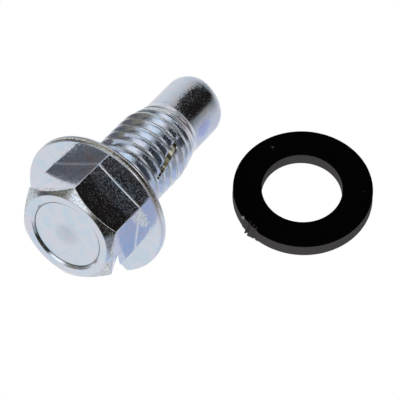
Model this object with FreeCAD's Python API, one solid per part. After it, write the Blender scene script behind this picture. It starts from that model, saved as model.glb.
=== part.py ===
"""Oil drain plug: hexagon head, flange, thread with a cutting slot and a pilot point, and its gasket.

The plug is modelled upright on its own axis: the flange's bearing face is at z = 0, the point is above it and
the head below. +X is the side that is seen best. The finished plug then lies down on its rim and its point, with
the gasket flat beside it.
"""
import FreeCAD
import Part

import math
import os

from FreeCAD import Rotation, Vector

# Thread
MAJOR_D = 12.8
PITCH = 25.4 / 13
FLANK_ANGLE = 60.0
CREST_FLAT = PITCH / 8
FIRST_CREST = 4.66
THREAD_END = 20.4
TAPER_LENGTH = 4.9
RELIEF_LENGTH = 1.5
RELIEF_DEPTH = 0.35
NECK_LENGTH = 0.9
NECK_CLEARANCE = 0.08
ROOT_CLEARANCE = 0.03
CUTTER_MARGIN = 0.15

# Cutting slot, milled across the threads at a slant by a disc
SLOT_DISC_D = 27.0
SLOT_WIDTH = 0.9
SLOT_FLOOR = 4.95
SLOT_MIDDLE = 12.4
SLOT_SIDE = 28.5
SLOT_SLANT = 21.0

# Pilot point
POINT_D = 10.5
PLUG_REACH = 29.8
TIP_RADIAL = 0.95
TIP_AXIAL = 1.8
TIP_END_ROUND = 0.6

# Flange
FLANGE_D = 24.45
RIM_THICKNESS = 1.4
RIM_BEVEL = 0.3
FLANGE_SLOPE = 6.0

# Hexagon head
HEX_FLATS = 15.875
HEAD_HEIGHT = 9.5
TOP_FACE_D = 15.1
CHAMFER_ANGLE = 35.0
RECESS_D = 12.6
RECESS_FLOOR_D = 11.3
RECESS_DEPTH = 0.4
HEAD_COVE = 0.3

# Nick through one corner of the hexagon and the rim behind it
NICK_DEPTH = 1.7
NICK_WIDTH = 1.9
NICK_SKEW = 1.0
NICK_SLANT = 49.0
NICK_OVERRUN = 6.0

# Gasket
GASKET_OD = 22.6
GASKET_ID = 12.95
GASKET_THICKNESS = 2.4
GASKET_BEVEL = 0.12
TEAR_LENGTH = 2.2
TEAR_DEPTH = 0.3
TEAR_ANGLE = 223.0

# How the pieces lie: the heading runs from +Y towards +X
PLUG_HEADING = 32.0
PLUG_ROLL = 28.9
GASKET_ASIDE = 32.08
GASKET_AHEAD = 8.9

major_r = MAJOR_D / 2
point_r = POINT_D / 2
flange_r = FLANGE_D / 2
corner_r = HEX_FLATS / math.sqrt(3)
slope = math.radians(FLANGE_SLOPE)
top_z = -HEAD_HEIGHT
corner_z = top_z + (corner_r - TOP_FACE_D / 2) * math.tan(math.radians(CHAMFER_ANGLE))

# Rounded tip: a long arc off the side of the point runs smoothly into a short one round the end
round_z = PLUG_REACH - TIP_AXIAL
tip_r = point_r - TIP_RADIAL
tip_in = TIP_RADIAL - TIP_END_ROUND
tip_up = TIP_AXIAL - TIP_END_ROUND
tip_side_round = TIP_END_ROUND + (tip_in**2 + tip_up**2) / (2 * tip_in)
tip_turn = math.asin(tip_up / (tip_side_round - TIP_END_ROUND))

AXIS = Vector(0, 0, 1)
CENTRE = Vector(0, 0, 0)


def line(start, end):
    """Straight edge between two (radius, height) spots of a turned outline."""
    return Part.LineSegment(Vector(start[0], 0, start[1]), Vector(end[0], 0, end[1])).toShape()


def arc(centre, radius, first, last):
    """Arc of a turned outline: radians from the radius direction towards the height direction."""
    spots = []
    for a in (first, (first + last) / 2, last):
        spots.append(Vector(centre[0] + radius * math.cos(a), 0, centre[1] + radius * math.sin(a)))
    return Part.Arc(*spots).toShape()


def turn(edges):
    """Solid turned round the axis from a closed run of edges."""
    return Part.Face(Part.Wire(edges)).revolve(CENTRE, AXIS, 360)


def turned_shank():
    """Neck and relief behind the flange, thread blank with its taper, pilot point and rounded tip."""
    neck_r = major_r + NECK_CLEARANCE
    relief_r = point_r - RELIEF_DEPTH
    outline = [
        (0, -RIM_THICKNESS),
        (neck_r, -RIM_THICKNESS),
        (neck_r, 0),
        (relief_r, NECK_LENGTH),
        (relief_r, RELIEF_LENGTH),
        (major_r, RELIEF_LENGTH + major_r - relief_r),
        (major_r, THREAD_END - TAPER_LENGTH),
        (point_r, THREAD_END),
        (point_r, round_z),
    ]
    edges = [line(a, b) for a, b in zip(outline, outline[1:])]
    edges.append(arc((point_r - tip_side_round, round_z), tip_side_round, 0, tip_turn))
    edges.append(arc((tip_r, PLUG_REACH - TIP_END_ROUND), TIP_END_ROUND, tip_turn, math.pi / 2))
    edges.append(line((tip_r, PLUG_REACH), (0, PLUG_REACH)))
    edges.append(line((0, PLUG_REACH), outline[0]))
    return turn(edges)


def thread_groove():
    """The V between the crests, out of the bar: one helix from before the relief to past the taper."""
    half_flank = math.tan(math.radians(FLANK_ANGLE / 2))
    root_r = point_r + ROOT_CLEARANCE
    outer_r = major_r + CUTTER_MARGIN
    crest_half = (PITCH - CREST_FLAT) / 2
    root_half = crest_half - (major_r - root_r) * half_flank
    outer_half = crest_half + CUTTER_MARGIN * half_flank
    start_z = (FIRST_CREST - PITCH / 2) % PITCH - PITCH
    rise = THREAD_END + PITCH / 2 - start_z
    spine = Part.Wire(Part.makeHelix(PITCH, rise, major_r))
    corners = [(root_r, -root_half), (root_r, root_half), (outer_r, outer_half), (outer_r, -outer_half)]
    spots = [Vector(r, 0, z) for r, z in corners]
    groove = spine.makePipeShell([Part.makePolygon(spots + spots[:1])], True, True)
    bar = Part.makeCylinder(major_r, rise + 2 * PITCH, Vector(0, 0, -PITCH))
    groove.translate(Vector(0, 0, start_z))
    return groove.common(bar)


def cutting_slot():
    """Disc laid across the threads at a slant, deepest at the middle of the slot."""
    side = Vector(SLOT_FLOOR + SLOT_DISC_D / 2, -SLOT_WIDTH / 2, 0)
    slot = Part.makeCylinder(SLOT_DISC_D / 2, SLOT_WIDTH, side, Vector(0, 1, 0))
    slot.rotate(CENTRE, Vector(1, 0, 0), SLOT_SLANT)
    slot.translate(Vector(0, 0, SLOT_MIDDLE))
    slot.rotate(CENTRE, AXIS, SLOT_SIDE)
    return slot


def flange():
    """Flat bearing face, bevelled rim and a shallow cone that rises to the hexagon."""
    bevel_r = flange_r - RIM_BEVEL
    cone_z = -RIM_THICKNESS - bevel_r * math.tan(slope)
    outline = [
        (0, 0),
        (bevel_r, 0),
        (flange_r, -RIM_BEVEL),
        (flange_r, RIM_BEVEL - RIM_THICKNESS),
        (bevel_r, -RIM_THICKNESS),
        (0, cone_z),
        (0, 0),
    ]
    return turn([line(a, b) for a, b in zip(outline, outline[1:])])


def hexagon():
    """Hexagon bar with its corners turned off to a cone."""
    spots = []
    for k in range(7):
        a = math.radians(30 + 60 * k)
        spots.append(Vector(corner_r * math.cos(a), corner_r * math.sin(a), top_z))
    bar = Part.Face(Part.makePolygon(spots)).extrude(Vector(0, 0, HEAD_HEIGHT - RIM_THICKNESS / 2))
    spread = HEAD_HEIGHT / math.tan(math.radians(CHAMFER_ANGLE))
    cone = Part.makeCone(TOP_FACE_D / 2, TOP_FACE_D / 2 + spread, HEAD_HEIGHT, Vector(0, 0, top_z))
    return bar.common(cone)


def recess():
    """Shallow dish in the top of the head."""
    return Part.makeCone(RECESS_D / 2, RECESS_FLOOR_D / 2, RECESS_DEPTH, Vector(0, 0, top_z))


def head():
    """Hexagon on its flange, with a small cove where the six flats meet the cone."""
    cove = min(HEAD_COVE, (flange_r - RIM_BEVEL - corner_r) / 2)
    joined = hexagon().fuse(flange()).removeSplitter()
    seam = []
    for edge in joined.Edges:
        middle = edge.CenterOfMass
        reach = math.hypot(middle.x, middle.y)
        level = abs(edge.tangentAt(edge.FirstParameter).z) < 0.5
        if middle.z > corner_z and HEX_FLATS / 2 - cove < reach < corner_r and level:
            seam.append(edge)
    return joined.makeChamfer(cove, seam).cut(recess())


def nick():
    """Wedge cut on a slant through the corner at +Y, deepest a little way down from the chamfer."""
    along = Vector(math.cos(math.radians(NICK_SLANT)), 0, math.sin(math.radians(NICK_SLANT)))
    across = Vector(-along.z, 0, along.x)
    outside = flange_r + NICK_OVERRUN
    corners = [
        (-NICK_OVERRUN, corner_r + NICK_DEPTH),
        (0, corner_r),
        (NICK_WIDTH + NICK_SKEW, corner_r - NICK_DEPTH),
        (NICK_WIDTH, corner_r),
        (NICK_WIDTH, outside),
        (-NICK_OVERRUN, outside),
    ]
    start = Vector(0, 0, corner_z) - across * corner_r
    spots = [start + along * s + Vector(0, u, 0) for s, u in corners]
    return Part.Face(Part.makePolygon(spots + spots[:1])).extrude(across * FLANGE_D * 2)


def drain_plug():
    shank = turned_shank().cut(thread_groove()).cut(cutting_slot())
    return head().fuse(shank).removeSplitter().cut(nick())


def gasket():
    """Flat ring with bevelled edges and a torn spot in the upper edge."""
    ring = Part.makeCylinder(GASKET_OD / 2, GASKET_THICKNESS)
    ring = ring.cut(Part.makeCylinder(GASKET_ID / 2, GASKET_THICKNESS))
    ring = ring.makeChamfer(GASKET_BEVEL, [e for e in ring.Edges if isinstance(e.Curve, Part.Circle)])
    corner = Vector(GASKET_OD / 2 - TEAR_DEPTH, -TEAR_LENGTH / 2, GASKET_THICKNESS / 2)
    tear = Part.makeBox(GASKET_THICKNESS, TEAR_LENGTH, GASKET_THICKNESS, corner)
    tear.rotate(corner, Vector(0, 1, 0), 20)
    tear.rotate(CENTRE, AXIS, TEAR_ANGLE)
    return ring.cut(tear)


def resting_tilt():
    """Slope of the axis when the rim's back corner and the tip's long arc both touch the floor."""
    rise = flange_r - (point_r - tip_side_round)
    run = round_z + RIM_BEVEL
    return math.acos(tip_side_round / math.hypot(rise, run)) - math.atan2(run, rise)


def lay_down(shape):
    """Turn the upright plug so that it lies on the floor with its point towards the heading."""
    tilt = resting_tilt()
    heading = math.radians(PLUG_HEADING)
    roll = math.radians(PLUG_ROLL)
    tip = Vector(math.sin(heading) * math.cos(tilt), math.cos(heading) * math.cos(tilt), -math.sin(tilt))
    side = Vector(math.cos(heading), -math.sin(heading), 0)
    seen = side.cross(tip) * math.cos(roll) + side * math.sin(roll)
    laid = shape.copy()
    laid.Placement.Rotation = Rotation(seen, tip.cross(seen), tip, "ZXY")
    laid.translate(Vector(0, 0, flange_r * math.cos(tilt) - RIM_BEVEL * math.sin(tilt)))
    return laid


def main():
    plug = lay_down(drain_plug())
    ring = gasket()
    ring.translate(Vector(GASKET_ASIDE, GASKET_AHEAD, 0))
    box = plug.optimalBoundingBox(False, False)
    box.add(ring.optimalBoundingBox(False, False))
    to_origin = Vector(-box.Center.x, -box.Center.y, 0)
    os.makedirs("parts", exist_ok=True)
    for name, shape in (("drain_plug", plug), ("gasket", ring)):
        shape.translate(to_origin)
        shape.exportStep("parts/" + name + ".step")
        print(name, shape.isValid(), len(shape.Solids), round(shape.Volume, 2))
    print("middle of the pair", round(box.Center.x, 4), round(box.Center.y, 4))


main()
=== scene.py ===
"""Oil drain plug beside its flat gasket on a white table: meshes, finishes, studio light and camera."""

import math

import bmesh
import bpy
import numpy as np
from mathutils import Matrix, Vector


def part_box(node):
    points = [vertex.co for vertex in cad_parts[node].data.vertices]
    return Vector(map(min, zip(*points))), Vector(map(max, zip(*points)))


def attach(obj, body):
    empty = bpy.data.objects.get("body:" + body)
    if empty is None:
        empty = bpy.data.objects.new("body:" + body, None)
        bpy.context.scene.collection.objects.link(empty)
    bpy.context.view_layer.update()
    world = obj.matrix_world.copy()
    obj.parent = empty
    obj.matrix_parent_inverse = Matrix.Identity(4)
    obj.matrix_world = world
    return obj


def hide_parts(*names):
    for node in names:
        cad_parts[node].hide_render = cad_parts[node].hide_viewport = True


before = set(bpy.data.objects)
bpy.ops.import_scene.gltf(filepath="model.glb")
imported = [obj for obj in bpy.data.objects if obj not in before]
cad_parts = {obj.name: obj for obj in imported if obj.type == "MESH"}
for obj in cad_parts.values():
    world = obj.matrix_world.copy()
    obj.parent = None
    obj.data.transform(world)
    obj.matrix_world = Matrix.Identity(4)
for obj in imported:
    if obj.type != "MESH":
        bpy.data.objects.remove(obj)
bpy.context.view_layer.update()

# Lengths are in millimetres and angles in degrees, unless a comment says otherwise. The plug is made upright:
# z is 0 at the back of the flange, the point is above it and the head below.
MM = 0.001

# Thread
MAJOR_R = 6.4
PITCH = 25.4 / 13
FLANK_ANGLE = 30.0
CREST_HALF = 0.15
FIRST_CREST = 4.66
THREAD_START = 1.5
THREAD_END = 20.4
TAPER_LENGTH = 4.9
ROOT_CLEARANCE = 0.03
ROOT_LIFT = 0.03
ROWS_TOP = THREAD_END + 0.4

# Section of the thread. The rolled seam on each crest is given by distance from the crest's middle and drop.
CREST_SEAM = ((0, 0.06), (0.045, 0.05), (0.09, 0.012), (0.13, 0.0), (0.17, 0.02))
FLANK_SPOTS = (0.22, 0.34, 0.48, 0.62)
ROOT_BEFORE = 0.06
ROOT_AFTER = 0.07

# Relief between the flange and the thread
RELIEF_DEPTH = 0.35
NECK_LENGTH = 0.9
NECK_CLEARANCE = 0.08
NECK_ROUND = 0.1

# Cutting slot, milled by a leaning disc and thinner towards its ends
SLOT_WIDTH = 0.85
SLOT_FLOOR = 4.7
SLOT_MIDDLE = 12.5
SLOT_SIDE = 36.8
SLOT_SLANT = 21.0
SLOT_LEAN = -49.0
SLOT_SPREAD = 50.0
SLOT_THINNEST = 0.15
DISC_R = 7.0
DISC_RING = 4.0
DISC_ARC = 60
DISC_STEP = 2

# Pilot point
POINT_R = 5.25
PLUG_REACH = 29.8
POINT_ROWS = (1.4, 3.0)
TIP_RADIAL = 0.95
TIP_AXIAL = 1.9
TIP_LEAD = 0.1
TIP_STEP = 9
TIP_RINGS = (3.0, 1.0, 0.0)
TIP_SLANT = 0.14
TIP_SLANT_SIDE = 61.0

# Flange. The rim's step and groove are given by inset, height and rounding; the step's heights start at the
# lower end of the flange's slope.
FLANGE_R = 12.225
FLANGE_SLOPE = 2.0
RIM_THICKNESS = 1.4
RIM_STEP = ((0.28, -0.02, 0.07), (0.17, 0.17, 0.05), (0.02, 0.23, 0.07))
RIM_GROOVE = ((0, -0.72, 0.06), (0.07, -0.60, 0.05), (0, -0.48, 0.06))
RIM_BEVEL = 0.3
RIM_ROUND = 0.06

# Hexagon head
HEX_FLATS = 15.875
HEAD_HEIGHT = 9.5
CORNER_ROUND = 0.3
CORNER_COLUMNS = (28.2, 28.6, 28.95, 29.3, 29.65)
COLUMN_STEP = 2.3
FOOT_ROUND = 0.25
CHAMFER_ANGLE = 35.0
CHAMFER_ROUND = 0.2
TOP_FACE_R = 7.4
TOP_FACE_ROUND = 0.3
RECESS_R = 6.25
RECESS_EDGE_ROUND = 0.15
RECESS_FLOOR_R = 5.85
RECESS_FLOOR_ROUND = 0.2
RECESS_RINGS = (0, 1.0, 3.2)
RECESS_DEPTH = 0.4

# Nick in one corner of the hexagon and the rim below it; its cutter is so many flange radii long
NICK_DEPTH = 1.7
NICK_WIDTH = 1.9
NICK_SKEW = 1.0
NICK_SLANT = 49.0
NICK_OVERRUN = 6.0
NICK_RADII = 4

# Gasket
GASKET_R = 11.3
GASKET_HOLE_R = 6.475
GASKET_THICKNESS = 2.4
GASKET_DRAFT = 0.05
GASKET_ROUND = 0.14
GASKET_RINGS = (0.7, 1.4)
GASKET_STEP = 2.0
HOLE_ASIDE = -0.13

# Torn place on the gasket's outer edge. Each pair is the least shift and what the ragged edge adds to it.
TEAR_SIDE = 219.5
TEAR_SPREAD = 8.0
TEAR_COLUMNS = (206, 234)
TEAR_STEP = 0.4
TEAR_KNOTS = 1.3
TEAR_OUT = (-0.15, 0.8)
TEAR_IN = (0.10, 0.45)
TEAR_DOWN = 0.3

# How the pieces lie
PLUG_HEADING = 32.0
PLUG_ROLL = 28.9
PLUG_TILT = 13.687
GASKET_ASIDE = 32.08
GASKET_AHEAD = 8.9

# Meshes: steps of each rounding, straight run beside it, spots that are one, and the least angle of a sharp edge
ROUND_STEPS = 4
ROUND_LEAD = 0.04
SAME_SPOT = 1e-5
NO_LENGTH = 1e-6
SHARP_EDGE = 38

# Places of the marks on the plug, and of the pale fleck round the gasket. The polished patch reaches POLISH_TURN
# radians to each side, and POLISH_ASIDE is its shift as a share of that.
POLISH_MIDDLE = 24.2
POLISH_HALF = 3.9
POLISH_TURN = 0.48
POLISH_ASIDE = 0.16
# Middle of a painted reflection of the bluish table, on the thread's right side
BLUE_REFLECTION_SPOT = (3.9, 3.5, 13.7)
BURR_SPOTS = ((6.8, 5.6, -1.6), (6.1, 6.5, -1.6))
TARNISH_SPOTS = ((7.1, -6.3, -1.5), (6.3, -5.5, -3.3))
FLECK_SIDE = 210.0

# Roughness of the bright plate, and what wear, satin and burr add to it
BRIGHT_ROUGHNESS = 0.055
WORN_ROUGHNESS = 0.3
SATIN_ROUGHNESS = 0.27
BURR_ROUGHNESS = 0.2

# Colours of the plate, and of the marks on it
ZINC_BLUE = (0.69, 0.77, 0.88, 1)
ZINC_PALE = (0.76, 0.79, 0.87, 1)
ZINC_PINK = (0.79, 0.77, 0.84, 1)
OLIVE_STAIN = (0.74, 0.71, 0.62, 1)
RIM_DIRT = (0.20, 0.185, 0.15, 1)
BURR_WHITE = (0.97, 0.98, 1.0, 1)
DENT_GREY = (0.42, 0.45, 0.54, 1)
CHAMFER_GRIME = (0.44, 0.42, 0.37, 1)
CREST_MIDDLE_DARK = (0.17, 0.165, 0.125, 1)
TARNISH_BROWN = (0.78, 0.60, 0.55, 1)
RECESS_CORNER_DARK = (0.10, 0.12, 0.11, 1)
# Painted reflection: blue of the shaded table on the right, painted onto the thread
PAINTED_TABLE_BLUE = (0.42, 0.48, 0.90, 1)

# Colours of the slot's walls and of the rubber; the rubber's top colour is painted shade and its side colour painted
# light
MILLED_DARK = (0.09, 0.08, 0.05, 1)
MILLED_OLIVE = (0.42, 0.38, 0.24, 1)
MILLED_BRIGHT = (1.0, 0.97, 0.86, 1)
RUBBER_TOP_PAINTED_SHADE = (0.0015, 0.0012, 0.0013, 1)
RUBBER_SIDE_PAINTED_LIGHT = (0.120, 0.108, 0.110, 1)
RUBBER_SPECK = (0.10, 0.09, 0.09, 1)
RUBBER_FLECK = (0.75, 0.74, 0.73, 1)

# Studio: colour of the sky below, at and above the table's level
SKY_BELOW = (0.77, 0.80, 0.81, 1)
SKY_LEVEL = (0.36, 0.36, 0.35, 1)
SKY_ABOVE = (0.44, 0.45, 0.44, 1)
WHITE = (1, 1, 1, 1)

# What the studio shows from each side: azimuth, elevation, inner and outer angle, colour. A later patch covers
# an earlier one.
STUDIO_PATCHES = {
    "walls on the right": (102, 18, 20, 30, (0.055, 0.06, 0.068)),
    "table edge on the right": (82, -13, 9, 14, (0.58, 0.60, 0.64)),
    "blue cloth on the table": (-167, -32, 12, 19, (0.50, 0.565, 0.74)),
    "table behind": (10, -55, 20, 40, (0.86, 0.85, 0.86)),
    "table on the right": (80, -47, 12, 26, (0.62, 0.66, 0.76)),
    "table edge in front": (176, -10, 8, 24, (0.28, 0.31, 0.35)),
    "front wall": (-168, 16, 14, 26, (0.22, 0.22, 0.19)),
    "dark gap in front": (176, 15, 14, 20, (0.025, 0.023, 0.019)),
    "dark above the camera": (172, 52, 16, 22, (0.02, 0.02, 0.018)),
    "left wall": (-100, 8, 15, 24, (0.12, 0.12, 0.135)),
    "upper left wall": (-104, 26, 10, 20, (0.22, 0.21, 0.17)),
    "pale back left": (-22, -2, 16, 30, (0.78, 0.80, 0.82)),
    "dark corner behind": (-55, 32, 8, 22, (0.11, 0.11, 0.11)),
    "window overhead": (8, 62, 8, 28, (1.15, 1.17, 1.15)),
    "black corner": (58, 27, 16, 27, (0.012, 0.010, 0.009)),
    "pale beam": (-6, 17, 8, 14, (0.64, 0.67, 0.70)),
    "dim beam": (10, 29, 4, 9, (0.20, 0.20, 0.20)),
    "black beam": (30, 32, 12, 17, (0.014, 0.012, 0.011)),
    "black ceiling on the right": (78, 42, 9, 15, (0.025, 0.03, 0.035)),
    "lamp on the right": (118, 57, 9, 18, (1.2, 1.22, 1.2)),
    "softbox": (-140, 44, 12, 24, (1.15, 1.17, 1.18)),
    "grey beside the back window": (36, 7, 6, 14, (0.34, 0.36, 0.36)),
    "back window": (12, 6, 7, 15, (0.78, 0.82, 0.82)),
}

# Camera and table; the distance and the table's size are in metres
CAMERA_ELEVATION = 56.09
CAMERA_DISTANCE = 0.3899
CAMERA_TARGET = (-0.295, 0.713, 0)
CAMERA_LENS = 218.0
CAMERA_SENSOR = 36
NEAREST_SEEN = 0.01
FARTHEST_SEEN = 100
TABLE_HALF = 3

corner_r = HEX_FLATS / math.sqrt(3)
relief_r = POINT_R - RELIEF_DEPTH
top_z = -HEAD_HEIGHT


def radians(*angles):
    return [math.radians(a) for a in angles]


def gasket_middle():
    """Middle of the gasket's solid, in metres."""
    low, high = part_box("gasket")
    return (low + high) / 2


def plug_place():
    """Matrix from the upright plug in millimetres to where it lies on the table in metres."""
    tilt, heading, roll = radians(PLUG_TILT, PLUG_HEADING, PLUG_ROLL)
    tip = Vector((math.sin(heading) * math.cos(tilt), math.cos(heading) * math.cos(tilt), -math.sin(tilt)))
    side = Vector((math.cos(heading), -math.sin(heading), 0))
    seen = side.cross(tip) * math.cos(roll) + side * math.sin(roll)
    middle = gasket_middle()
    base = Vector((middle.x - GASKET_ASIDE * MM, middle.y - GASKET_AHEAD * MM, 0))
    base.z = (FLANGE_R * math.cos(tilt) - RIM_BEVEL * math.sin(tilt)) * MM
    turned = Matrix((seen, tip.cross(seen), tip)).transposed().to_4x4()
    return Matrix.Translation(base) @ turned @ Matrix.Scale(MM, 4)


def hexagon_columns():
    """Angles of the columns, closer together round the six corners."""
    half = [*np.arange(0, CORNER_COLUMNS[0], COLUMN_STEP), *CORNER_COLUMNS]
    sector = half + [30.0] + [60 - a for a in reversed(half[1:])]
    return np.radians([a + 60 * k for k in range(6) for a in sector] + [360.0])


def hexagon_radius(angle):
    """Distance from the axis to the hexagon's wall, with its six corners rounded."""
    off = math.radians(abs(math.degrees(angle) % 60 - 30))
    sixth, half_sixth = radians(60, 30)
    centre = corner_r - CORNER_ROUND / math.sin(sixth)
    touch = math.atan2(CORNER_ROUND / 2, centre + CORNER_ROUND * math.cos(half_sixth))
    if off > touch:
        return HEX_FLATS / 2 / math.cos(half_sixth - off)
    return centre * math.cos(off) + math.sqrt(CORNER_ROUND**2 - (centre * math.sin(off)) ** 2)


def rounded(corners):
    """Outline through (radius, height, rounding) corners; every column gets the same number of spots."""
    spots = []
    for k, (r, z, rounding) in enumerate(corners):
        here = np.array((r, z))
        if not rounding:
            spots.append(here)
            continue
        before = np.array(corners[k - 1][:2]) - here
        after = np.array(corners[k + 1][:2]) - here
        before = before / np.linalg.norm(before)
        after = after / np.linalg.norm(after)
        half = math.acos(np.clip(before @ after, -1, 1)) / 2
        reach = rounding / math.tan(half)
        start = here + before * reach
        end = here + after * reach
        spots.append(start + before * ROUND_LEAD)
        for step in range(ROUND_STEPS + 1):
            t = step / ROUND_STEPS
            spots.append(start * (1 - t) ** 2 + here * 2 * t * (1 - t) + end * t**2)
        spots.append(end + after * ROUND_LEAD)
    return spots


def head_outline(angle):
    """From the middle of the recess over the chamfer, down the flat, over the flange to the neck."""
    wall = hexagon_radius(angle)
    slope, chamfer = radians(FLANGE_SLOPE, CHAMFER_ANGLE)
    rim_r = FLANGE_R - RIM_BEVEL
    floor_z = top_z + RECESS_DEPTH
    return rounded([
        *((r, floor_z, 0) for r in RECESS_RINGS),
        (RECESS_FLOOR_R, floor_z, RECESS_FLOOR_ROUND),
        (RECESS_R, top_z, RECESS_EDGE_ROUND),
        (TOP_FACE_R, top_z, TOP_FACE_ROUND),
        (wall, top_z + (wall - TOP_FACE_R) * math.tan(chamfer), CHAMFER_ROUND),
        (wall, -RIM_THICKNESS - (rim_r - wall) * math.tan(slope), FOOT_ROUND),
        *((FLANGE_R - inset, height - RIM_THICKNESS, rounding) for inset, height, rounding in RIM_STEP),
        *((FLANGE_R - inset, height, rounding) for inset, height, rounding in RIM_GROOVE),
        (FLANGE_R, -RIM_BEVEL, RIM_ROUND),
        (rim_r, 0, RIM_ROUND),
        (MAJOR_R + NECK_CLEARANCE, 0, 0),
        (relief_r, NECK_LENGTH, NECK_ROUND),
        (relief_r, THREAD_START, 0),
    ])


def tip_outline():
    """From the end of the thread along the point and over its rounded tip."""
    rows = [THREAD_END + up for up in POINT_ROWS] + [PLUG_REACH - TIP_AXIAL - TIP_LEAD]
    spots = [(POINT_R, z) for z in rows]
    for a in radians(*range(0, 91, TIP_STEP)):
        spots.append((POINT_R - TIP_RADIAL * (1 - math.cos(a)), PLUG_REACH - TIP_AXIAL * (1 - math.sin(a))))
    return spots + [(r, PLUG_REACH) for r in TIP_RINGS]


def thread_section():
    """Distances from the middle of a crest to the middle of the groove, and the drop from the crest at each."""
    flank = 1 / math.tan(math.radians(FLANK_ANGLE))
    groove_depth = MAJOR_R - (POINT_R + ROOT_CLEARANCE)
    root_edge = CREST_HALF + groove_depth / flank
    seam_distance, seam_drop = np.array(CREST_SEAM).T
    root = [root_edge - ROOT_BEFORE, root_edge, root_edge + ROOT_AFTER]
    distance = np.array([*seam_distance, *FLANK_SPOTS, *root, PITCH / 2])
    drop = np.minimum(np.maximum(distance - CREST_HALF, 0) * flank, groove_depth)
    drop[:len(CREST_SEAM)] = seam_drop
    drop[distance == root_edge] -= ROOT_LIFT
    return distance, drop


crest_distance, crest_drop = thread_section()


def thread_radius(angle, z):
    """Distance from the axis to the threaded surface: crest and groove inside the turned outline."""
    turned_z = [THREAD_START, THREAD_START + MAJOR_R - relief_r, THREAD_END - TAPER_LENGTH, THREAD_END]
    turned = np.interp(z, turned_z, [relief_r, MAJOR_R, MAJOR_R, POINT_R])
    away = (z - FIRST_CREST - PITCH * angle / (2 * math.pi)) % PITCH
    away = np.minimum(away, PITCH - away)
    return np.minimum(turned, MAJOR_R - np.interp(away, crest_distance, crest_drop))


def thread_rows(angles):
    """Rows that climb with the thread, cut off level at both ends."""
    offsets = np.concatenate([crest_distance, PITCH - crest_distance[-2:0:-1]])
    first = math.floor((THREAD_START - FIRST_CREST) / PITCH) - 1
    last = math.ceil((ROWS_TOP - FIRST_CREST) / PITCH)
    levels = np.concatenate([FIRST_CREST + n * PITCH + offsets for n in range(first, last + 1)])
    z = levels[:, None] + PITCH * angles[None, :] / (2 * math.pi)
    keep = (z.max(1) > THREAD_START) & (z.min(1) < ROWS_TOP)
    z = np.vstack([np.clip(z[keep], THREAD_START, ROWS_TOP), np.full(len(angles), ROWS_TOP)])
    return thread_radius(angles[None, :], z), z


def sheet(radius, height, angles):
    """Closed mesh in millimetres from rows of radius and height, one column for each angle."""
    count = radius.shape[0]
    x = radius * np.cos(angles)
    y = radius * np.sin(angles)
    mesh = bmesh.new()
    grid = [[mesh.verts.new(p) for p in zip(x[j], y[j], height[j])] for j in range(count)]
    for j in range(count - 1):
        for i in range(len(angles) - 1):
            mesh.faces.new((grid[j][i], grid[j][i + 1], grid[j + 1][i + 1], grid[j + 1][i]))
    bmesh.ops.remove_doubles(mesh, verts=mesh.verts, dist=SAME_SPOT)
    bmesh.ops.dissolve_degenerate(mesh, dist=NO_LENGTH, edges=mesh.edges)
    bmesh.ops.recalc_face_normals(mesh, faces=mesh.faces)
    return mesh


def new_piece(name, mesh):
    """Object that holds the mesh, in the scene."""
    data = bpy.data.meshes.new(name)
    mesh.to_mesh(data)
    mesh.free()
    piece = bpy.data.objects.new(name, data)
    bpy.context.scene.collection.objects.link(piece)
    return piece


def lay(piece, place):
    """Move the piece to its place on the table and shade it smooth but for its sharp edges."""
    piece.data.transform(place)
    piece.data.polygons.foreach_set("use_smooth", [True] * len(piece.data.polygons))
    piece.data.set_sharp_from_angle(angle=math.radians(SHARP_EDGE))


def cut(piece, cutter):
    """Take the cutter out of the piece and drop it."""
    step = piece.modifiers.new("cut", "BOOLEAN")
    step.operation = "DIFFERENCE"
    step.solver = "EXACT"
    step.material_mode = "TRANSFER"
    step.object = cutter
    bpy.context.view_layer.update()
    shaped = bpy.data.meshes.new_from_object(piece.evaluated_get(bpy.context.evaluated_depsgraph_get()))
    piece.modifiers.clear()
    old = piece.data
    piece.data = shaped
    bpy.data.meshes.remove(old)
    bpy.data.meshes.remove(cutter.data)


def slot_cutter():
    """Outer ring of a disc that leans as it crosses the threads at a slant, deepest at the middle of the slot."""
    slant, side, lean = radians(SLOT_SLANT, SLOT_SIDE, SLOT_LEAN)
    place = Matrix.Rotation(side, 4, "Z") @ Matrix.Translation((SLOT_FLOOR, 0, SLOT_MIDDLE))
    place = place @ Matrix.Rotation(slant, 4, "X") @ Matrix.Rotation(lean, 4, "Z")
    mesh = bmesh.new()
    rings = []
    for angle in range(-DISC_ARC, DISC_ARC + 1, DISC_STEP):
        a = math.radians(angle)
        half = SLOT_WIDTH / 2 * max(1 - (angle / SLOT_SPREAD) ** 2, SLOT_THINNEST)
        section = [(DISC_R, half), (DISC_R, -half), (DISC_R - DISC_RING, -half), (DISC_R - DISC_RING, half)]
        spots = [Vector((DISC_R - r * math.cos(a), w, r * math.sin(a))) for r, w in section]
        rings.append([mesh.verts.new(place @ spot) for spot in spots])
    for first, second in zip(rings, rings[1:]):
        for k in range(4):
            mesh.faces.new((first[k], first[k - 1], second[k - 1], second[k]))
    mesh.faces.new(rings[0])
    mesh.faces.new(reversed(rings[-1]))
    bmesh.ops.recalc_face_normals(mesh, faces=mesh.faces)
    cutter = new_piece("cutter", mesh)
    cutter.data.materials.append(milled_steel())
    return cutter


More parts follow.
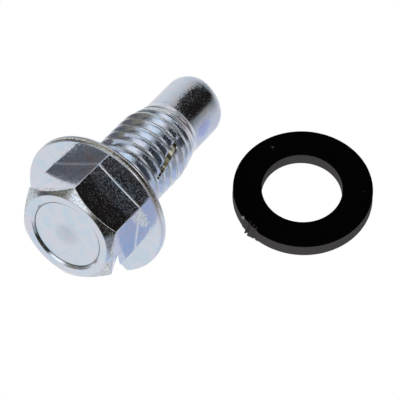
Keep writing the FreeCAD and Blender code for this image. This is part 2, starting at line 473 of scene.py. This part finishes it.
def nick_cutter():
    """Wedge on a slant through the corner at +Y."""
    slant, chamfer = radians(NICK_SLANT, CHAMFER_ANGLE)
    along = Vector((math.cos(slant), 0, math.sin(slant)))
    across = Vector((-along.z, 0, along.x))
    outside = FLANGE_R + NICK_OVERRUN
    corner_z = top_z + (corner_r - TOP_FACE_R) * math.tan(chamfer)
    corners = [(-NICK_OVERRUN, corner_r + NICK_DEPTH), (0, corner_r), (NICK_WIDTH + NICK_SKEW, corner_r - NICK_DEPTH),
               (NICK_WIDTH, corner_r), (NICK_WIDTH, outside), (-NICK_OVERRUN, outside)]
    start = Vector((0, 0, corner_z)) - across * corner_r
    mesh = bmesh.new()
    face = mesh.faces.new([mesh.verts.new(start + along * s + Vector((0, u, 0))) for s, u in corners])
    pushed = bmesh.ops.extrude_face_region(mesh, geom=[face])
    far_end = [v for v in pushed["geom"] if isinstance(v, bmesh.types.BMVert)]
    bmesh.ops.translate(mesh, verts=far_end, vec=across * FLANGE_R * NICK_RADII)
    bmesh.ops.recalc_face_normals(mesh, faces=mesh.faces)
    return new_piece("cutter", mesh)


def slant_tip(plug):
    """Push the end of the tip back on one side, so that it is a little out of square."""
    side = math.radians(TIP_SLANT_SIDE)
    for spot in plug.data.vertices:
        x, y, z = spot.co
        share = min(max((z - PLUG_REACH + 2 * TIP_AXIAL) / TIP_AXIAL, 0), 1)
        spot.co.z -= share * TIP_SLANT * max(x * math.cos(side) + y * math.sin(side), 0)


def drain_plug():
    """Head, flange, thread and point as one turned sheet, then the slot and the nick cut out of it."""
    angles = hexagon_columns()
    head = np.array([head_outline(a) for a in angles])
    thread_r, thread_z = thread_rows(angles)
    tip = np.array(tip_outline())
    ones = np.ones_like(angles)
    radius = np.vstack([head[:, :, 0].T, thread_r, tip[:, :1] * ones])
    height = np.vstack([head[:, :, 1].T, thread_z, tip[:, 1:] * ones])
    plug = new_piece("plug", sheet(radius, height, angles))
    slant_tip(plug)
    plug.data.materials.append(zinc())
    cut(plug, slot_cutter())
    cut(plug, nick_cutter())
    lay(plug, plug_place())
    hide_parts("drain_plug")
    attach(plug, "root")


def gasket():
    """Flat ring with its hole a little off centre and its outer edge torn at one place."""
    torn_from, torn_to = TEAR_COLUMNS
    angles = np.radians([
        *np.arange(0, torn_from, GASKET_STEP), *np.arange(torn_from, torn_to, TEAR_STEP),
        *np.arange(torn_to, 361, GASKET_STEP)])
    side_r = GASKET_R - GASKET_DRAFT
    outline = np.array(rounded([
        (side_r, GASKET_THICKNESS / 2, 0),
        (side_r, GASKET_THICKNESS, GASKET_ROUND),
        *((GASKET_R - inset, GASKET_THICKNESS, 0) for inset in GASKET_RINGS),
        (GASKET_HOLE_R, GASKET_THICKNESS, GASKET_ROUND),
        (GASKET_HOLE_R, 0, GASKET_ROUND),
        (GASKET_R, 0, GASKET_ROUND),
        (side_r, GASKET_THICKNESS / 2, 0),
    ]))
    ones = np.ones_like(angles)
    radius, height = outline[:, :1] * ones, outline[:, 1:] * ones
    middle_r = (GASKET_R + GASKET_HOLE_R) / 2
    radius += (outline[:, :1] < middle_r) * HOLE_ASIDE * np.cos(angles)
    torn = np.exp(-(((np.degrees(angles) - TEAR_SIDE) / TEAR_SPREAD) ** 4))
    torn = (outline[:, :1] > GASKET_R - GASKET_RINGS[0]) * torn
    upper = outline[:, 1:] / GASKET_THICKNESS
    knots = np.radians(np.arange(0, 362, TEAR_KNOTS))
    rows = np.random.default_rng(5).random((2, len(knots)))
    ragged_top, ragged_foot = [np.interp(angles, knots, row) for row in rows]
    outwards = TEAR_OUT[0] + TEAR_OUT[1] * ragged_foot
    inwards = TEAR_IN[0] + TEAR_IN[1] * ragged_top
    radius += torn * ((1 - upper) * outwards - upper * inwards)
    height -= torn * upper * TEAR_DOWN * ragged_top
    ring = new_piece("seal_ring", sheet(radius, height, angles))
    middle = gasket_middle()
    lay(ring, Matrix.Translation((middle.x, middle.y, 0)) @ Matrix.Scale(MM, 4))
    ring.data.materials.append(rubber())
    ring.visible_glossy = False  # the plug doesn't mirror it in the photograph
    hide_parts("gasket")
    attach(ring, "root")


class Shade:
    """One socket of a finish; sums and products of shades add Math nodes."""

    def __init__(self, finish, socket):
        self.finish = finish
        self.socket = socket

    def math(self, operation, *others):
        return self.finish.math(operation, self, *others)

    def __add__(self, other):
        return self.math("ADD", other)

    def __sub__(self, other):
        return self.math("SUBTRACT", other)

    def __rsub__(self, other):
        return self.finish.math("SUBTRACT", other, self)

    def __mul__(self, other):
        return self.math("MULTIPLY", other)

    def __truediv__(self, other):
        return self.math("DIVIDE", other)

    __radd__ = __add__
    __rmul__ = __mul__


class Finish:
    """Nodes of one material or of the studio's sky."""

    def __init__(self, holder):
        holder.use_nodes = True
        self.tree = holder.node_tree
        self.tree.nodes.clear()

    def node(self, kind, settings, values, out=0):
        """Add a node, give it its settings and then the values or links of its sockets."""
        made = self.tree.nodes.new(kind)
        for name, setting in settings.items():
            setattr(made, name, setting)
        for name, value in values.items():
            socket = made.inputs[name]
            if isinstance(value, Shade):
                self.tree.links.new(value.socket, socket)
            else:
                socket.default_value = value
        return Shade(self, made.outputs[out])

    def math(self, operation, *values):
        return self.node("ShaderNodeMath", {"operation": operation}, dict(enumerate(values)))

    def vector(self, operation, *values, out=0):
        return self.node("ShaderNodeVectorMath", {"operation": operation}, dict(enumerate(values)), out)

    def distance(self, here, spot):
        return self.vector("DISTANCE", here, spot, out=1)

    def nearest(self, here, first, second):
        """Distance to the nearer of two spots."""
        return self.math("MINIMUM", self.distance(here, first), self.distance(here, second))

    def split(self, vector):
        """The x, y and z of a vector."""
        return [self.node("ShaderNodeSeparateXYZ", {}, {0: vector}, k) for k in range(3)]

    def mix(self, share, first, second):
        """Colour between two colours."""
        return self.node("ShaderNodeMix", {"data_type": "RGBA"}, {0: share, 6: first, 7: second}, 2)

    def ramp(self, value, low, high):
        """Smooth step from 0 to 1 as the value goes from one limit to the other."""
        return self.node("ShaderNodeMapRange", {"interpolation_type": "SMOOTHSTEP"}, {0: value, 1: low, 2: high})

    def noise(self, where, scale, detail=2.0):
        return self.node("ShaderNodeTexNoise", {}, {"Vector": where, "Scale": scale, "Detail": detail})

    def stretched_noise(self, where, stretch, scale, detail=2.0):
        """Noise on coordinates that are squeezed or stretched along each axis."""
        return self.noise(self.vector("MULTIPLY", where, stretch), scale, detail)

    def end(self, kind, target, shade):
        """Link the last shader to an output node."""
        self.tree.links.new(shade.socket, self.tree.nodes.new(kind).inputs[target])


def direction(azimuth, elevation):
    """Unit vector; azimuth 0 is +Y and 90 is +X."""
    a, e = radians(azimuth, elevation)
    return (math.sin(a) * math.cos(e), math.cos(a) * math.cos(e), math.sin(e))


def studio():
    """Surroundings of the table: pale table light from below, windows and lamps above, dark walls between them."""
    world = bpy.data.worlds.new("studio")
    bpy.context.scene.world = world
    sky = Finish(world)
    looking = sky.node("ShaderNodeTexCoord", {}, {}, "Generated")
    height = sky.node("ShaderNodeSeparateXYZ", {}, {0: looking}, "Z")
    colour = sky.mix(sky.ramp(height, -0.35, 0.02), SKY_BELOW, SKY_LEVEL)
    colour = sky.mix(sky.ramp(height, 0.5, 0.9), colour, SKY_ABOVE)
    for azimuth, elevation, inner, outer, tint in STUDIO_PATCHES.values():
        facing = sky.vector("DOT_PRODUCT", looking, direction(azimuth, elevation), out=1)
        narrow, wide = radians(inner, outer)
        colour = sky.mix(sky.ramp(facing, math.cos(wide), math.cos(narrow)), colour, (*tint, 1))
    seen = sky.node("ShaderNodeLightPath", {}, {}, "Is Camera Ray")
    colour = sky.mix(seen, colour, WHITE)
    sky.end("ShaderNodeOutputWorld", "Surface", sky.node("ShaderNodeBackground", {}, {"Color": colour}))


def plug_coordinates(finish):
    """Spot on the upright plug, in millimetres."""
    place = plug_place()
    here = finish.node("ShaderNodeTexCoord", {}, {}, "Object")
    return finish.node("ShaderNodeMapping", {"vector_type": "TEXTURE"}, {
        "Vector": here, "Location": place.translation, "Rotation": place.to_euler(), "Scale": (MM, MM, MM)})


def blot(finish, away, raggedness, ragged, outer, inner):
    """Mask of a blot that fades out between two distances, with a ragged edge."""
    return finish.ramp(away + raggedness * (ragged - 0.5), outer, inner)


def rim_band(plate, reach, angle, z):
    """Edge of the rim's upper bead, on the side where it is grainy and stained."""
    band = plate.ramp(reach, FLANGE_R - 0.3, FLANGE_R - 0.15)
    band = band * plate.ramp(z, -0.60, -0.72) * plate.ramp(z, -1.25, -1.15)
    return band * plate.ramp(angle, 0.7, 0.4) * plate.ramp(angle, -1.6, -1.3)


def scratches(plate, here):
    """Fine scratches along the plug and round it."""
    lengthways = plate.ramp(plate.stretched_noise(here, (4.2, 4.2, 0.25), 1.6), 0.60, 0.71)
    crossways = plate.ramp(plate.stretched_noise(here, (0.3, 0.3, 6.5), 1.2), 0.60, 0.70)
    return plate.math("MAXIMUM", lengthways * 0.6, crossways * 0.6)


def satin_point(plate, angle, z, streaks):
    """The whole point but for one polished patch with streaky edges."""
    turn = angle / POLISH_TURN + POLISH_ASIDE
    along = (z - POLISH_MIDDLE) / POLISH_HALF
    away = plate.math("SQRT", turn * turn + along * along)
    return plate.ramp(z, THREAD_END - 0.1, THREAD_END + 0.3) * blot(plate, away, 1.1, streaks, 0.8, 1.2)


def crest_lines(plate, angle, z):
    """Middle of each crest, from near the flange to near the end of the thread."""
    turns = (z - FIRST_CREST) / PITCH - angle / (2 * math.pi)
    away = plate.math("PINGPONG", turns, 0.5) * PITCH
    threaded = plate.ramp(z, THREAD_START + 1, THREAD_START + 1.5) * plate.ramp(z, THREAD_END, THREAD_END - 1)
    return plate.ramp(away, 0.10, 0.05) * threaded


def chamfer_dirt(plate, reach, z, crumbs):
    """Crumbs of dirt on the head's chamfer."""
    chamfer = plate.ramp(z, top_z + 1.4, top_z + 1.1) * plate.ramp(reach, TOP_FACE_R + 0.05, TOP_FACE_R + 0.2)
    return chamfer * plate.ramp(crumbs, 0.47, 0.56)


def zinc():
    """Bright zinc plate: bluish, with tint patches, pits, scratches, stains, dirt, a rough burr, darker crest middles
    and recess corner, and a painted reflection of the blue table.
    """
    material = bpy.data.materials.new("zinc_plate")
    plate = Finish(material)
    here = plug_coordinates(plate)
    x, y, z = plate.split(here)
    reach = plate.math("SQRT", x * x + y * y)
    angle = plate.math("ARCTAN2", y, x)
    tint = plate.noise(here, 0.45, 3.0)
    grain = plate.noise(here, 7.0)
    crumbs = plate.noise(here, 2.6, 3.0)
    streaks = plate.stretched_noise(here, (1.0, 1.0, 0.6), 4.5, 4.0)

    rim = rim_band(plate, reach, angle, z)
    stain = rim * plate.ramp(grain, 0.30, 0.42)
    rim_dirt = rim * plate.ramp(plate.noise(here, 5.0, 1.0), 0.50, 0.44)
    burr = blot(plate, plate.nearest(here, *BURR_SPOTS), 2.0, crumbs, 1.0, 0.7)
    tarnish = blot(plate, plate.nearest(here, *TARNISH_SPOTS), 2.5, crumbs, 1.3, 0.3)
    # Painted reflection of the bluish table on the right, laid into the plate's colour
    blue = plate.distance(plate.vector("MULTIPLY", here, (1, 1, 0.6)), BLUE_REFLECTION_SPOT)
    blue = blot(plate, blue, 2.6, streaks, 1.5, 0.6)
    recess = plate.ramp(z, top_z + 1.2, top_z + 0.8)
    dent = recess * plate.ramp(reach + 1.5 * tint, 3.6, 1.2)
    # The rounded corner of the recess floor is painted darker in a thin ring
    seam = recess * plate.ramp(plate.math("ABSOLUTE", reach - RECESS_FLOOR_R), 0.13, 0.05)
    # The middle of each crest is painted darker, in grainy streaks
    crests = crest_lines(plate, angle, z) * plate.ramp(grain, 0.70, 0.50)

    colour = plate.mix(plate.ramp(tint, 0.38, 0.52), ZINC_BLUE, ZINC_PALE)
    for share, mark in (
        (plate.ramp(tint, 0.52, 0.62), ZINC_PINK),
        (stain, OLIVE_STAIN),
        (rim_dirt, RIM_DIRT),
        (burr, BURR_WHITE),
        (dent * 0.4, DENT_GREY),
        (chamfer_dirt(plate, reach, z, crumbs) * 0.65, CHAMFER_GRIME),
        (crests, CREST_MIDDLE_DARK),
        (tarnish * 0.55, TARNISH_BROWN),
        (seam * 0.75, RECESS_CORNER_DARK),
        (blue * 0.7, PAINTED_TABLE_BLUE),
    ):
        colour = plate.mix(share, colour, mark)

    pits = plate.ramp(plate.noise(here, 5.6, 3.0), 0.575, 0.70)
    worn = plate.math("MAXIMUM", pits, scratches(plate, here))
    worn = plate.math("MAXIMUM", worn, stain * 0.7)
    rough = BRIGHT_ROUGHNESS + WORN_ROUGHNESS * worn
    rough = rough + SATIN_ROUGHNESS * satin_point(plate, angle, z, streaks) + BURR_ROUGHNESS * burr
    height = plate.noise(here, 3.2, 3.0) + 0.6 * pits + 60.0 * burr * plate.noise(here, 2.8)
    bump = plate.node("ShaderNodeBump", {}, {"Strength": 0.2, "Distance": 0.05 * MM, "Height": height})
    shader = plate.node("ShaderNodeBsdfPrincipled", {}, {
        "Base Color": colour, "Metallic": 1.0, "Roughness": rough, "Normal": bump})
    plate.end("ShaderNodeOutputMaterial", "Surface", shader)
    return material


def milled_steel():
    """Walls of the cutting slot: brassy, with the marks of the disc."""
    material = bpy.data.materials.new("milled_steel")
    wall = Finish(material)
    marks = wall.stretched_noise(plug_coordinates(wall), (0.1, 0.1, 1.0), 2.4, 1.0)
    colour = wall.mix(wall.ramp(marks, 0.43, 0.50), MILLED_DARK, MILLED_OLIVE)
    colour = wall.mix(wall.ramp(marks, 0.52, 0.57), colour, MILLED_BRIGHT)
    shader = wall.node("ShaderNodeBsdfPrincipled", {}, {
        "Base Color": colour, "Metallic": 1.0, "Roughness": 0.25 + 0.25 * marks})
    wall.end("ShaderNodeOutputMaterial", "Surface", shader)
    return material


def gasket_spot(side, radius, height):
    """Spot on the lying gasket, in metres."""
    side = math.radians(side)
    middle = gasket_middle()
    return Vector((middle.x, middle.y, 0)) + Vector((radius * math.cos(side), radius * math.sin(side), height)) * MM


def rubber():
    """Matte black rubber with painted light: sides painted greyer and top darker by which way they face, with specks
    and one pale fleck.
    """
    material = bpy.data.materials.new("rubber")
    skin = Finish(material)
    here = skin.node("ShaderNodeTexCoord", {}, {}, "Object")
    facing = skin.node("ShaderNodeNewGeometry", {}, {}, "Normal")
    level = skin.node("ShaderNodeSeparateXYZ", {}, {0: facing}, "Z")
    grain = skin.noise(here, 3000.0, 4.0)
    specks = skin.ramp(skin.noise(here, 700.0), 0.76, 0.80)
    fleck = gasket_spot(FLECK_SIDE, GASKET_R - 0.02, GASKET_THICKNESS - 0.15)
    fleck = skin.ramp(skin.distance(here, fleck), 0.42 * MM, 0.2 * MM) * skin.ramp(grain, 0.42, 0.55)
    # Painted light and shade: the rubber is painted greyer where it faces sideways and nearly black where it faces up
    colour = skin.mix(1.0 - skin.ramp(level, 0.3, 0.8), RUBBER_TOP_PAINTED_SHADE, RUBBER_SIDE_PAINTED_LIGHT)
    colour = skin.mix(specks, colour, RUBBER_SPECK)
    colour = skin.mix(fleck, colour, RUBBER_FLECK)
    bump = skin.node("ShaderNodeBump", {}, {"Strength": 0.3, "Distance": 0.03 * MM, "Height": grain})
    shader = skin.node("ShaderNodeBsdfPrincipled", {}, {
        "Base Color": colour, "Roughness": 0.8, "Specular IOR Level": 0.02, "Normal": bump})
    skin.end("ShaderNodeOutputMaterial", "Surface", shader)
    return material


def table():
    """Plain white table top, lit so evenly that it shows no shadow."""
    mesh = bmesh.new()
    bmesh.ops.create_grid(mesh, x_segments=1, y_segments=1, size=TABLE_HALF)
    floor = new_piece("table", mesh)
    material = bpy.data.materials.new("white_table")
    white = Finish(material)
    glow = white.node("ShaderNodeEmission", {}, {"Color": WHITE, "Strength": 1.0})
    white.end("ShaderNodeOutputMaterial", "Surface", glow)
    floor.data.materials.append(material)
    floor.visible_glossy = False
    floor.visible_diffuse = False
    floor.visible_shadow = False


def camera():
    """Long lens that looks down on both pieces from the front."""
    elevation = math.radians(CAMERA_ELEVATION)
    target = Vector([part * MM for part in CAMERA_TARGET])
    data = bpy.data.cameras.new("camera")
    data.lens = CAMERA_LENS
    data.sensor_width = CAMERA_SENSOR
    data.clip_start = NEAREST_SEEN
    data.clip_end = FARTHEST_SEEN
    view = bpy.data.objects.new("camera", data)
    view.location = target + Vector((0, -math.cos(elevation), math.sin(elevation))) * CAMERA_DISTANCE
    view.rotation_euler = (math.pi / 2 - elevation, 0, 0)
    bpy.context.scene.collection.objects.link(view)
    bpy.context.scene.camera = view


drain_plug()
gasket()
table()
studio()
camera()
bpy.context.scene.view_settings.view_transform = "Standard"
